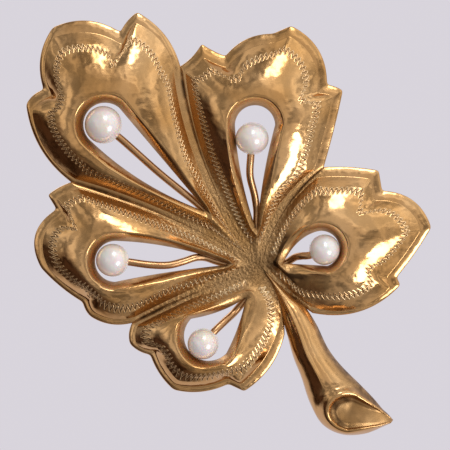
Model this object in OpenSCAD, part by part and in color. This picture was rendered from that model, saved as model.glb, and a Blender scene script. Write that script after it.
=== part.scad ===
// Leaf brooch with five pearls, a hinged pin and a turning safety catch. Millimetres.
// The leaf stands upright: front face toward -Y, leaf tips up +Z, pin behind on +Y.
// Origin: middle of the pin shank, on the pin axis.

/* [Leaf] */
// width of the leaf, which sets the scale of its outline, openings and stem
leaf_w = 48.6; // [46:0.1:52]
// thickness of the stamped leaf sheet
sheet_t = 0.42; // [0.36:0.01:0.5]
// height of the free edge in front of the back plane
edge_z = 0.42; // [0.38:0.01:0.6]
// height of the crease between the rim bevel and the domed field
rim_z = 0.64; // [0.55:0.01:0.9]
// width of the rim bevel on the lower and left edges
rim_narrow = 0.6; // [0.5:0.05:0.9]
// width of the rim bevel on the upper and right edges
rim_wide = 1.25; // [1:0.05:1.45]
// width of the flank on each side of a valley
valley_w = 0.5; // [0.4:0.05:0.7]
// height of the valley floor where the lobes meet in the middle
hub_z = 0.55; // [0.45:0.05:0.8]
// roundness of the dome between the rim and the collar: 1 is a straight slope
dome = 2; // [1.6:0.1:2.4]
// share of each valley, from the middle of the leaf out, that lies flat beside its line
flat_share = 0.62; // [0.4:0.02:0.7]
// how late the field rises beside that flat part: 1 is a straight slope
flat_rise = 1.6; // [1.2:0.1:2]

/* [Opening collars] */
// width of the turned-in collar round each opening
collar_w = 1.1; // [0.8:0.05:1.3]
// height of the collar crest at the round end
crest_z = 3; // [2.6:0.05:3.3]
// height of the collar crest at the pointed end
crest_tip_z = 1.55; // [1.5:0.05:1.9]
// height of the collar lip at the round end
lip_z = 1.3; // [1.2:0.05:1.5]
// height of the collar lip at the pointed end
lip_tip_z = 1.2; // [1.15:0.05:1.4]

/* [Stem] */
// height of the hollow stem at its widest
stem_h = 3.1; // [2.6:0.05:3.4]
// depth of the oval dish at the end of the stem
dish_depth = 1.1; // [0.7:0.05:1.4]
// gap between the stem and the two lobes it is soldered between
seam = 0.05; // [0.03:0.01:0.1]

/* [Pearls] */
// diameter of the pearl in the right lobe
pearl_right_d = 3.7; // [3.2:0.05:3.9]
// diameter of the pearl in the upper right lobe
pearl_upper_right_d = 4.0; // [3.4:0.05:4.2]
// diameter of the pearl in the upper left lobe
pearl_upper_left_d = 4.54; // [3.8:0.02:4.7]
// diameter of the pearl in the left lobe
pearl_left_d = 4.0; // [3.4:0.05:4.2]
// diameter of the pearl in the lower left lobe
pearl_lower_left_d = 3.8; // [3.3:0.05:4.4]
// height of the pearl centres in front of the back plane
pearl_z = 1.8; // [1.6:0.05:2.2]

/* [Pearl wires] */
// diameter of the gold wire behind each pearl
wire_d = 0.8; // [0.6:0.05:0.85]
// height of the wire axis where it is soldered under the leaf
wire_seat_z = 0.2; // [0:0.05:0.25]
// radial gap between a wire and the bore of its pearl
bore_gap = 0.03; // [0.02:0.01:0.06]

/* [Pin and hinge] */
// width of the back bar
bar_w = 2.6; // [2.4:0.1:3]
// thickness of the back bar
bar_t = 0.8; // [0.6:0.05:1]
// height of the pin axis behind the back bar
pin_rise = 2.6; // [2.4:0.05:3]
// distance from the hinge axis to the middle of the catch
pin_reach = 22.6; // [21:0.1:23]
// diameter of the pin shank
pin_d = 1; // [0.9:0.02:1.1]
// diameter of the pin where it lies in the catch
nose_d = 0.66; // [0.6:0.02:0.7]
// diameter of the hinge rivet
rivet_d = 0.7; // [0.6:0.02:0.8]
// radial running gap between the rivet and the pin knuckle
rivet_gap = 0.04; // [0.02:0.01:0.08]
// width of the pin knuckle between the two ears
knuckle_w = 1.2; // [1.1:0.05:1.3]
// thickness of each hinge ear
ear_t = 0.6; // [0.5:0.05:0.7]
// radius of the hinge ears
ear_r = 1.15; // [1.05:0.05:1.25]

/* [Catch] */
// outer diameter of the turning sleeve
roller_d = 1.9; // [1.86:0.02:2]
// radial running gap between the sleeve and its housing
roller_gap = 0.05; // [0.03:0.01:0.08]
// wall of the catch housing
housing_wall = 0.45; // [0.4:0.05:0.55]
// length of the catch housing along the pin
housing_len = 3.2; // [3:0.1:3.6]
// gap on each side of the pin in the catch
nose_gap = 0.12; // [0.1:0.01:0.16]
// travel of the turning sleeve in degrees
catch_travel = 75; // [70:1:78]
// diameter of the thumb tab
tab_d = 0.6; // [0.5:0.02:0.64]

/* [Hidden] */
$fn = 48;

// colours of the metal, the pearls and the steel pin
gold = [0.83, 0.66, 0.3];
pearl = [0.93, 0.89, 0.82];
steel = [0.72, 0.68, 0.58];

// the outline was drawn at this width
drawn_w = 48.6;
grow = leaf_w / drawn_w;
function sized(list) = [for (p = list) p * grow];
function sized_edge(list) = [for (p = list) [p.x * grow, p.y * grow, p[2] * grow, p[3]]];

// the pin line on the back of the leaf, from the hinge toward the catch
hinge_at = [-9.3, 20.5] * grow;
pin_turn = -68.4;
axis_z = bar_t + pin_rise;
pin_dir = [cos(pin_turn), sin(pin_turn)];
root_len = 1.9;
shank_end = pin_reach - housing_len / 2 - 1.3;
origin_at = hinge_at + pin_dir * (root_len + shank_end) / 2;

// edges of the lobes: each corner with the bulge of the stretch that arrives at it
// kind 0 is a free edge, 1 a valley shared with the next lobe, 2 the seam beside the stem
hub = [-0.2, 0.2];
seam_right = [6.05, -5.4];
seam_left = [2.7, -7.95];
seam_right_bulge = 0.25;
seam_left_bulge = 0.8;
right_lobe = [[hub.x, hub.y, 1.2, 1], [seam_right.x, seam_right.y, seam_right_bulge, 2],
  [16.6, -2.05, 1.55, 0], [16.15, -1.1, 0, 0], [20.3, 4.85, 0.15, 0], [14.4, 9.25, 1.3, 0],
  [14, 11.7, 0, 0], [7.4, 12.1, 0.2, 0]];
upper_right_lobe = [[hub.x, hub.y, 1.7, 1], [7.4, 12.1, -1.2, 1], [9.7, 21.3, 0.1, 0],
  [7.8, 22, 0.1, 0], [3.5, 29.05, 1.3, 0], [1.3, 28.1, 0, 0], [-4.4, 25.4, 0.78, 0],
  [-7.25, 26.9, -0.1, 0], [-9.8, 24.2, -0.25, 0]];
upper_left_lobe = [[hub.x, hub.y, -0.9, 1], [-9.8, 24.2, -1.7, 1], [-15, 30.7, 0.9, 0],
  [-17, 28.3, 0.2, 0], [-25.1, 28.85, 1.1, 0], [-26.2, 21.4, 0.95, 0], [-28.3, 19.6, 0.3, 0],
  [-22.9, 10.3, 1.15, 0]];
left_lobe = [[hub.x, hub.y, -0.25, 1], [-22.9, 10.3, 0.9, 1], [-25.7, 8.75, 0.15, 0],
  [-24.65, 7.05, 0, 0], [-26.5, 0, 1.7, 0], [-21.5, -4.1, 0.25, 0], [-20.6, -5.8, 0.15, 0],
  [-15.6, -6.6, 0.55, 0]];
lower_left_lobe = [[hub.x, hub.y, seam_left_bulge, 2], [-15.6, -6.6, 0.25, 1],
  [-15.85, -9.1, 0.25, 0], [-13.4, -10.4, 0.25, 0], [-10.6, -14.6, 0.35, 0],
  [-4.05, -13.9, 0.6, 0], [-2.15, -14.8, 0, 0], [seam_left.x, seam_left.y, 0.85, 0]];

// openings: pointed end, centre of the round end, its radius, bulge of the right and left sides
right_eye = [[2.7, 0.7], [7.1, 2.3], 2.15, 0, 0.55];
upper_right_eye = [[-0.7, 5], [-0.85, 17.1], 2.4, -0.3, 0.42];
upper_left_eye = [[-7, 7], [-18.8, 17.2], 2.6, 0, 0.82];
left_eye = [[-4.4, 0.5], [-17.55, 0.8], 2.45, 0.55, -0.2];
lower_left_eye = [[-2.1, -3.8], [-6.4, -8.15], 2.95, -0.4, 0.25];
tip_r = 0.15;

// small helpers
function turn_right(d) = [d.y, -d.x] / norm(d);
function turn_left(d) = [-d.y, d.x] / norm(d);
function clamp01(t) = min(1, max(0, t));
function ease(t) = t * t * (3 - 2 * t);
function mix(a, b, t) = a * (1 - t) + b * t;
function xy(p) = [p.x, p.y];
function bowed(p, q, b, t) = p * (1 - t) + q * t + 4 * b * t * (1 - t) * turn_right(q - p);
function start_dir(p, q, b) = (q - p) + 4 * b * turn_right(q - p);
function end_dir(p, q, b) = (q - p) - 4 * b * turn_right(q - p);

// number of steps along one stretch, the same from both of its ends
step = 1.2;
function steps(p, q) = max(2, ceil(norm(q - p) / step));

// rim width of a stretch: wide where its edge looks up and right, narrow below and left
wide_dir = [0.6, 0.8];
function rim_w(p, q, kind) = kind > 0 ? valley_w :
  mix(rim_narrow, rim_wide, 0.5 + 0.5 * turn_right(q - p) * wide_dir);

// corner of the crease: the meeting point of the two edges moved inward
function meet(n1, n2, w1, w2) = let (d = n1.x * n2.y - n1.y * n2.x)
  abs(d) < 0.15 ? (n1 * w1 + n2 * w2) / 2 :
  [w1 * n2.y - w2 * n1.y, w2 * n1.x - w1 * n2.x] / d;
function crease_corner(c, k) = let (
    n = len(c),
    p = c[(k + n - 1) % n],
    q = c[k],
    r = c[(k + 1) % n],
    n1 = turn_left(end_dir(xy(p), xy(q), q[2])),
    n2 = turn_left(start_dir(xy(q), xy(r), r[2])),
    w1 = rim_w(xy(p), xy(q), q[3]),
    w2 = rim_w(xy(q), xy(r), r[3]),
    m = meet(n1, n2, w1, w2))
  xy(q) + m * min(1, 3.2 * max(w1, w2) / norm(m));

// one lobe loop: [edge point, crease point, kind, share of the way from the hub out]
function stretch(c, k) = let (
    n = len(c),
    j = (k + 1) % n,
    p = xy(c[k]),
    q = xy(c[j]),
    b = c[j][2],
    kind = c[j][3],
    pc = crease_corner(c, k),
    qc = crease_corner(c, j),
    m = steps(p, q))
  [for (i = [0:m - 1]) let (back = (m - i) / m)
    [j == 0 ? bowed(q, p, -b, back) : bowed(p, q, b, i / m), bowed(pc, qc, b, i / m), kind,
      kind == 0 ? 1 : j == 0 ? back : i / m]];
function lobe_loop(c) = [for (k = [0:len(c) - 1]) each stretch(c, k)];

// one spoke of a lobe: thirteen points from the edge over the front and back under the sheet
function spoke(s, eye) = let (
    axis = eye[1] - eye[0],
    t = clamp01((s[1] - eye[0]) * axis / (axis * axis)),
    q = eye[0] + axis * t,
    out = (s[1] - q) / norm(s[1] - q),
    side = out * turn_right(axis) > 0 ? eye[3] : eye[4],
    hole = q + out * (mix(tip_r, eye[2], t) + side * 4 * t * (1 - t)),
    span = norm(s[1] - hole),
    cw = min(collar_w, 0.3 * span),
    crest = hole + out * cw,
    zo = s[2] == 0 ? edge_z : mix(hub_z, edge_z, s[3]),
    flat = exp(-pow(s[3] / flat_share, 4)),
    zk = zo + (rim_z - edge_z) * (1 - flat),
    zc = mix(crest_tip_z, crest_z, ease(t)),
    zl = mix(lip_tip_z, lip_z, t),
    f = [0.2, 0.5, 0.8],
    x = [for (g = f) mix(s[1], crest, g)],
    z = [for (g = f) mix(zk, zc, mix(1 - pow(1 - g, dome), pow(g, flat_rise), flat))],
    land = mix(s[0], s[1], 0.4))
  [[s[0].x, s[0].y, zo], [s[1].x, s[1].y, zk], [x[0].x, x[0].y, z[0]], [x[1].x, x[1].y, z[1]],
    [x[2].x, x[2].y, z[2]], [crest.x, crest.y, zc], [hole.x, hole.y, zl],
    [hole.x, hole.y, zl - sheet_t], [crest.x, crest.y, zc - 1.25 * sheet_t],
    [x[1].x, x[1].y, z[1] - sheet_t], [s[1].x, s[1].y, zk - 1.1 * sheet_t],
    [land.x, land.y, 0], [s[0].x, s[0].y, 0]];

lobes = [for (c = [right_lobe, upper_right_lobe, upper_left_lobe, left_lobe, lower_left_lobe])
  sized_edge(c)];
eyes = [for (e = [right_eye, upper_right_eye, upper_left_eye, left_eye, lower_left_eye]) sized(e)];
loops = [for (c = lobes) lobe_loop(c)];
rings = 13;
function first(l) = l == 0 ? 0 : first(l - 1) + len(loops[l - 1]) * rings;

// the dome is softened across the corners of the teeth, where it is wide enough
function soft(list, i, k) = let (
    n = len(list),
    b = list[i],
    near = list[(i + n - 1) % n][k] + list[(i + 1) % n][k],
    far = list[(i + n - 2) % n][k] + list[(i + 2) % n][k],
    w = 0.75 * clamp01((norm(b[5] - b[1]) - 1.2) / 2))
  mix(b[k], near / 3 + far / 6, w);
leaf_points = [for (l = [0:4]) let (raw = [for (s = loops[l]) spoke(s, eyes[l])])
  for (i = [0:len(raw) - 1]) for (k = [0:rings - 1])
    k == 3 || k == 4 || k == 9 ? soft(raw, i, k) : raw[i][k]];
function band(a, b, c, d) = [[a, b, c], [a, c, d]];
leaf_faces = [for (l = [0:4]) let (n = len(loops[l]), f = first(l)) for (i = [0:n - 1])
  let (a = f + i * rings, d = f + (i + 1) % n * rings)
  for (k = [0:rings - 1]) if (k < rings - 1 || loops[l][i][2] != 1)
    each band(a + k, a + (k + 1) % rings, d + (k + 1) % rings, d + k)];

// stem: its left and right edges with its height there, from the seam down to the tip
function seam_l(t) = bowed(seam_left, hub, seam_left_bulge, t) * grow
  + seam * turn_right(hub - seam_left);
function seam_r(t) = bowed(hub, seam_right, seam_right_bulge, t) * grow
  + seam * turn_right(seam_right - hub);
stem_stations = [
  [seam_l(0.74), seam_r(0.28), 0.33],
  [seam_l(0.6), seam_r(0.42), 0.4],
  [seam_l(0.4), seam_r(0.62), 0.5],
  [seam_l(0.2), seam_r(0.85), 0.62],
  [[3.05, -8.2] * grow, [6.5, -6.7] * grow, 0.75],
  [[3.75, -10.7] * grow, [7.85, -9.5] * grow, 0.86],
  [[4.7, -13.1] * grow, [9.4, -11.6] * grow, 0.95],
  [[5.75, -16.2] * grow, [11.9, -14.1] * grow, 1],
  [[7.25, -18.75] * grow, [13.35, -15.6] * grow, 0.96],
  [[9.6, -19.95] * grow, [14.4, -16.85] * grow, 0.82],
  [[12.4, -19.85] * grow, [15.05, -17.45] * grow, 0.66],
  [[15.25, -18.7] * grow, [15.72, -18.2] * grow, 0.5]];
dish_at = [10.6, -17.3] * grow;
dish_turn = -10.5;
dish_size = [2.65, 2.05] * grow;
dish_tip = 5.15 * grow;
function spline(a, b, c, d, t) = b + 0.5 * t * (c - a + t * (2 * a - 5 * b + 4 * c - d
  + t * (3 * (b - c) + d - a)));
function station(s) = let (
    n = len(stem_stations) - 1,
    i = min(n - 1, floor(s)),
    v = [for (k = [-1:2]) stem_stations[min(n, max(0, i + k))]])
  [for (k = [0:2]) spline(v[0][k], v[1][k], v[2][k], v[3][k], s - i)];
// how deep the dish is at a point, from 0 to 1: round behind, drawn out to a point at the tip
function dish_at_point(p) = let (
    d = p - dish_at,
    u = d * [cos(dish_turn), sin(dish_turn)],
    taper = clamp01(1 - max(0.0001, u) / dish_tip),
    back = min(0, u) / dish_size.x,
    v = d * [-sin(dish_turn), cos(dish_turn)] / dish_size.y)
  taper < 0.01 ? 0 : max(0, 1 - back * back - pow(v / pow(taper, 0.8), 2)) * pow(taper, 1.2);
stem_across = 22;
stem_edge_z = 0.45;
function stem_front(s, u) = let (v = station(s), p = mix(v[0], v[1], u))
  [p.x, p.y, stem_edge_z + (stem_h * v[2] - stem_edge_z) * pow(4 * u * (1 - u), 0.55)
    - dish_depth * pow(dish_at_point(p), 0.6) * v[2]];
function stem_back(s, u) = let (p = stem_front(s, u), w = 4 * u * (1 - u))
  [p.x, p.y, max(0, p.z - stem_edge_z - 0.1 * w)];
stem_sub = 5;
stem_rows = (len(stem_stations) - 1) * stem_sub;
stem_cols = stem_across + 1;
stem_half = (stem_rows + 1) * stem_cols;
function stem_u(j) = (1 - cos(180 * j / stem_across)) / 2;
stem_points = concat(
  [for (i = [0:stem_rows]) for (j = [0:stem_across]) stem_front(i / stem_sub, stem_u(j))],
  [for (i = [0:stem_rows]) for (j = [0:stem_across])
    i == 0 || i == stem_rows || j == 0 || j == stem_across ?
      [stem_front(i / stem_sub, stem_u(j)).x, stem_front(i / stem_sub, stem_u(j)).y, 0] :
      stem_back(i / stem_sub, stem_u(j))]);
function stem_id(i, j) = i * stem_cols + j;
function stem_quad(i, j) = [stem_id(i, j), stem_id(i + 1, j), stem_id(i + 1, j + 1),
  stem_id(i, j + 1)];
function flip(q) = [q[3], q[2], q[1], q[0]];
function lift(q) = [for (k = q) k + stem_half];
function wall(a, b) = band(a, b, b + stem_half, a + stem_half);
stem_faces = concat(
  [for (i = [0:stem_rows - 1]) for (j = [0:stem_across - 1]) let (q = flip(stem_quad(i, j)))
    each band(q[0], q[1], q[2], q[3])],
  [for (i = [0:stem_rows - 1]) for (j = [0:stem_across - 1]) let (q = lift(stem_quad(i, j)))
    each band(q[0], q[1], q[2], q[3])],
  [for (i = [0:stem_rows - 1]) each wall(stem_id(i, 0), stem_id(i + 1, 0))],
  [for (i = [0:stem_rows - 1]) each wall(stem_id(i + 1, stem_across), stem_id(i, stem_across))],
  [for (j = [0:stem_across - 1]) each wall(stem_id(0, j + 1), stem_id(0, j))],
  [for (j = [0:stem_across - 1]) each wall(stem_id(stem_rows, j), stem_id(stem_rows, j + 1))]);

// pearls: centre in the leaf plane
pearl_right_at = [7.45, 2.2] * grow;
pearl_upper_right_at = [-1.2, 15.5] * grow;
pearl_upper_left_at = [-19, 17.15] * grow;
pearl_left_at = [-17.9, 0.95] * grow;
pearl_lower_left_at = [-7.05, -9.05] * grow;

// wires: the run from the pearl to the seat under the leaf
run_right = sized([[5.75, 1.55], [4.75, 1.45], [4, 1.3], [3.2, 0.8], [2.5, 0.45], [1.7, 0.3]]);
run_upper_right = sized([[-1.35, 13.5], [-1.45, 11.1], [-0.9, 8.75], [-0.62, 6.8], [-0.68, 5.2],
  [-0.7, 3.9]]);
run_upper_left = sized([[-16.95, 15.5], [-15.7, 14.4], [-12.45, 11.5], [-9.55, 9.15], [-8.1, 8],
  [-7, 7], [-6.1, 6.1]]);
run_left = sized([[-16.05, 0.75], [-13.5, 0.4], [-11.3, 0.35], [-9.55, 0.75], [-8, 1.25],
  [-6.8, 1.25], [-5.6, 0.85], [-4.4, 0.5], [-3.2, 0.4]]);
run_lower_left = sized([[-5.75, -7.6], [-4.6, -6.5], [-3.4, -5.4], [-2.4, -4.25], [-1.6, -3.3]]);
wire_sides = 10;

// the wire rises from its seat to the pearl over this share of its run
function run_z(i, n) = mix(pearl_z, wire_seat_z, ease(clamp01(i / (n - 2.6))));
function run3(at, run) = concat(
  [[for (k = [0:1]) mix(at[k], run[0][k], 0.15)]],
  run);
function run_point(at, run, i) = let (r = run3(at, run), n = len(r))
  [r[i].x, r[i].y, run_z(max(0, i - 1), n - 1)];
function wire_path(at, run) = [for (i = [0:len(run)]) run_point(at, run, i)];
function path_dir(p, i) = let (n = len(p) - 1, d = p[min(n, i + 1)] - p[max(0, i - 1)])
  i <= 1 ? (p[1] - p[0]) / norm(p[1] - p[0]) : d / norm(d);
function wire_ring(p, i) = let (
    d = path_dir(p, i),
    side = cross(d, [0, 0, 1]) / norm(cross(d, [0, 0, 1])),
    up = cross(side, d))
  [for (k = [0:wire_sides - 1]) p[i] + wire_d / 2 * (side * cos(360 * k / wire_sides)
    + up * sin(360 * k / wire_sides))];
module wire(at, run) {
  p = wire_path(at, run);
  n = len(p);
  m = wire_sides;
  points = [for (i = [0:n - 1]) each wire_ring(p, i)];
  sides = [for (i = [0:n - 2]) for (k = [0:m - 1])
    each band(i * m + k, i * m + (k + 1) % m, (i + 1) * m + (k + 1) % m, (i + 1) * m + k)];
  start = [[for (k = [m - 1:-1:0]) k]];
  end = [[for (k = [0:m - 1]) (n - 1) * m + k]];
  polyhedron(points, concat(sides, start, end), convexity = 4);
}

// a half-drilled pearl, its bore facing the wire
module bored_pearl(at, d, run) {
  to = run[0] - at;
  difference() {
    translate([at.x, at.y, pearl_z]) sphere(d = d);
    translate([mix(at.x, run[0].x, 0.1), mix(at.y, run[0].y, 0.1), pearl_z])
      rotate([0, 90, atan2(to.y, to.x)]) cylinder(d = wire_d + 2 * bore_gap, h = d);
  }
}

// the whole brooch stands upright about the middle of the pin shank
module upright() {
  rotate([90, 0, 0]) translate([-origin_at.x, -origin_at.y, axis_z]) children();
}

// back fittings are drawn along the pin line: x toward the tip, y across, z toward the leaf
module pin_line() {
  upright() translate([hinge_at.x, hinge_at.y, 0]) rotate([0, 0, pin_turn]) children();
}
module across(r, w) {
  rotate([90, 0, 0]) cylinder(r = r, h = w, center = true);
}
module along(r, from, to) {
  translate([from, 0, 0]) rotate([0, 90, 0]) cylinder(r = r, h = to - from);
}

module leaf_shell() {
  color(gold) upright() polyhedron(leaf_points, leaf_faces, convexity = 12);
}

module stem() {
  color(gold) upright() polyhedron(stem_points, stem_faces, convexity = 8);
}

module pearl_right() {
  color(pearl) upright() bored_pearl(pearl_right_at, pearl_right_d, run_right);
}
module pearl_upper_right() {
  color(pearl) upright()
    bored_pearl(pearl_upper_right_at, pearl_upper_right_d, run_upper_right);
}
module pearl_upper_left() {
  color(pearl) upright()
    bored_pearl(pearl_upper_left_at, pearl_upper_left_d, run_upper_left);
}
module pearl_left() {
  color(pearl) upright() bored_pearl(pearl_left_at, pearl_left_d, run_left);
}
module pearl_lower_left() {
  color(pearl) upright()
    bored_pearl(pearl_lower_left_at, pearl_lower_left_d, run_lower_left);
}

module wire_right() {
  color(gold) upright() wire(pearl_right_at, run_right);
}
module wire_upper_right() {
  color(gold) upright() wire(pearl_upper_right_at, run_upper_right);
}
module wire_upper_left() {
  color(gold) upright() wire(pearl_upper_left_at, run_upper_left);
}
module wire_left() {
  color(gold) upright() wire(pearl_left_at, run_left);
}
module wire_lower_left() {
  color(gold) upright() wire(pearl_lower_left_at, run_lower_left);
}

// the back bar runs under the valley between the two upper lobes and over the hub
bar_over = 1.4;
module pin_bar() {
  color(gold) pin_line() translate([0, 0, -bar_t]) {
    translate([-bar_over, -bar_w / 2, 0]) cube([pin_reach + 2 * bar_over, bar_w, bar_t]);
    translate([-bar_over, 0, 0]) cylinder(d = bar_w, h = bar_t);
    translate([pin_reach + bar_over, 0, 0]) cylinder(d = bar_w, h = bar_t);
  }
}

// two ears on a foot plate
ear_gap = 0.05;
foot_t = 0.5;
foot_len = 2 * ear_r + 1.1;
ear_in = knuckle_w / 2 + ear_gap;
hinge_w = 2 * (ear_in + ear_t);
module hinge_joint() {
  color(gold) pin_line() difference() {
    union() {
      translate([-foot_len / 2, -hinge_w / 2, -bar_t - foot_t])
        cube([foot_len, hinge_w, foot_t]);
      for (s = [-1, 1]) translate([0, s * (ear_in + ear_t / 2), -axis_z]) {
        across(ear_r, ear_t);
        translate([-ear_r, -ear_t / 2, 0]) cube([2 * ear_r, ear_t, pin_rise - foot_t / 2]);
      }
    }
    translate([0, 0, -axis_z]) across(rivet_d / 2 + 0.02, hinge_w + 1);
  }
}

// rivet with two spread heads
head_t = 0.28;
head_r = rivet_d / 2 + 0.27;
module hinge_rivet() {
  color(gold) pin_line() translate([0, 0, -axis_z]) {
    across(rivet_d / 2, hinge_w + head_t);
    for (s = [-1, 1]) translate([0, s * (hinge_w + head_t) / 2, 0]) across(head_r, head_t);
  }
}

// knuckle, flattened root, round shank, thinner nose and point
knuckle_r = 1;
nose_end = pin_reach + housing_len / 2 + 0.5;
point_len = 2;
module pin_stem() {
  color(steel) pin_line() translate([0, 0, -axis_z]) difference() {
    union() {
      across(knuckle_r, knuckle_w);
      translate([0, -knuckle_w / 2, -0.55]) cube([root_len, knuckle_w, 1.1]);
      along(pin_d / 2, root_len - 0.2, shank_end);
      translate([shank_end, 0, 0]) rotate([0, 90, 0])
        cylinder(r1 = pin_d / 2, r2 = nose_d / 2, h = 0.8);
      along(nose_d / 2, shank_end + 0.8, nose_end);
      translate([nose_end, 0, 0]) rotate([0, 90, 0])
        cylinder(r1 = nose_d / 2, r2 = 0.08, h = point_len);
    }
    across(rivet_d / 2 + rivet_gap, knuckle_w + 1);
  }
}

// barrel with a mouth turned away from the leaf and a window for the tab
housing_r = roller_d / 2 + roller_gap;
mouth = nose_d + 2 * nose_gap;
tab_at = 62;
tab_reach = housing_r + housing_wall + 0.65;
mouth_cut = 2 * housing_r + housing_wall;
window_w = tab_d + 0.16;
window_half = asin(window_w / 2 / housing_r) + 1;
module sector(r, w, from, to) {
  translate([-w / 2, 0, 0]) rotate([0, 90, 0]) rotate([0, 0, from])
    rotate_extrude(angle = to - from) square([r, w]);
}
module catch_housing() {
  color(gold) pin_line() translate([pin_reach, 0, -axis_z]) difference() {
    union() {
      along(housing_r + housing_wall, -housing_len / 2, housing_len / 2);
      translate([-1.2, -0.5, housing_r + housing_wall / 2])
        cube([2.4, 1, pin_rise - housing_r - housing_wall / 2 - foot_t / 2]);
      translate([-1.4, -1.1, pin_rise - foot_t]) cube([2.8, 2.2, foot_t]);
    }
    along(housing_r, -housing_len, housing_len);
    translate([-housing_len, -mouth / 2, -mouth_cut]) cube([2 * housing_len, mouth, mouth_cut]);
    sector(housing_r + housing_wall + 0.3, window_w, -tab_at - catch_travel - window_half,
      -tab_at + window_half);
  }
}

// turning sleeve, open toward the mouth when the catch is open
module catch_roller() {
  color(gold) pin_line() translate([pin_reach, 0, -axis_z]) {
    difference() {
      along(roller_d / 2, 0.06 - housing_len / 2, housing_len / 2 - 0.06);
      along(nose_d / 2 + nose_gap, -housing_len, housing_len);
      translate([-housing_len, -mouth / 2, -mouth_cut]) cube([2 * housing_len, mouth, mouth_cut]);
    }
    rotate([-tab_at, 0, 0]) translate([0, 0, -tab_reach]) {
      cylinder(d = tab_d, h = tab_reach - roller_d / 2 + 0.2);
      cylinder(r = tab_d / 2 + 0.2, h = 0.4);
    }
  }
}

leaf_shell();
stem();
pearl_right();
pearl_upper_right();
pearl_upper_left();
pearl_left();
pearl_lower_left();
wire_right();
wire_upper_right();
wire_upper_left();
wire_left();
wire_lower_left();
pin_bar();
hinge_joint();
hinge_rivet();
pin_stem();
catch_housing();
catch_roller();
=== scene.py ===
# %% [markdown]
# # A leaf brooch with five pearls
# A stamped gold leaf of five lobes. Each lobe is pierced by a teardrop opening with a turned-in
# collar, and a pearl sits in the opening on the end of a bent wire. A wriggled line is engraved
# inside the rim. Behind the leaf are a bar, a hinged pin and a turning safety catch.
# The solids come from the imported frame; this script dresses them.

import bpy
import numpy as np
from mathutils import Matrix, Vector


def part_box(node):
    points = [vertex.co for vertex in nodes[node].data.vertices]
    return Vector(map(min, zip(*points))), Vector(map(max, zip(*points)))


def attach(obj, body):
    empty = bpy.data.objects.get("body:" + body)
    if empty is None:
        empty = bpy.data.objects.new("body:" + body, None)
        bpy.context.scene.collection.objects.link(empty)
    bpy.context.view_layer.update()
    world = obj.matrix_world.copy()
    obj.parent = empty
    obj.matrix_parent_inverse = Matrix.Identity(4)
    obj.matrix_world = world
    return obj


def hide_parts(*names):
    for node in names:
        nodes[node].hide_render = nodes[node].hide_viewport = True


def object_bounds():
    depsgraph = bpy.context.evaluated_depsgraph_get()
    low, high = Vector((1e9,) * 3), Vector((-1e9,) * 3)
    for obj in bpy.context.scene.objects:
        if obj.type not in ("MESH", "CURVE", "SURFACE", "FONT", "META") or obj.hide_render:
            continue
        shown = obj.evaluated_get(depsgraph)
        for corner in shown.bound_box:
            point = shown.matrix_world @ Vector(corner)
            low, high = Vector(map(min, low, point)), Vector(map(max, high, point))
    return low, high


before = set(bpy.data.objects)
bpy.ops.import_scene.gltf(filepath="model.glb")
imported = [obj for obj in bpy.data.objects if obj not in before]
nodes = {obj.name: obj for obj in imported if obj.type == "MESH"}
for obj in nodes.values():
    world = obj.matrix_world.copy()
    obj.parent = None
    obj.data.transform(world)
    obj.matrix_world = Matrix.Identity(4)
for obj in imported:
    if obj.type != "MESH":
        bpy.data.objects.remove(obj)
scene = bpy.context.scene
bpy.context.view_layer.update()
print("nodes in the frame:", len(nodes))

# %% [markdown]
# ## The drawing of the leaf
# The leaf is drawn flat, in millimetres: x to the right, y up, z toward the viewer from the back
# plane. It could be placed by eye, but its left tip and its top tip tie the drawing to the packed
# leaf exactly, so nothing has to be fitted.

# %% From the drawing to the frame
MM = 0.001
LEFT_TIP, TOP_TIP = -28.3, 30.7
leaf_lo, leaf_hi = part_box("leaf_shell")
shift_x = leaf_lo.x - LEFT_TIP * MM
shift_z = leaf_hi.z - TOP_TIP * MM
back_y = leaf_hi.y


def place(p):
    """Drawing millimetres (x, y, z) to metres in the frame."""
    p = np.asarray(p, float)
    return np.column_stack((p[:, 0] * MM + shift_x, back_y - p[:, 2] * MM, p[:, 1] * MM + shift_z))


print("back plane of the leaf at y =", round(back_y, 5))

# %% [markdown]
# ## Lobes and openings
# Each lobe is a loop that starts at the hub. A corner carries the bulge of the stretch that
# arrives at it, so a bowed tooth edge needs no points of its own. Kind 0 is a free edge, 1 a
# valley that two lobes share, 2 the seam beside the stem. An opening has a pointed end, the centre
# and radius of its round end, and the bulge of its two sides.

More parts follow.
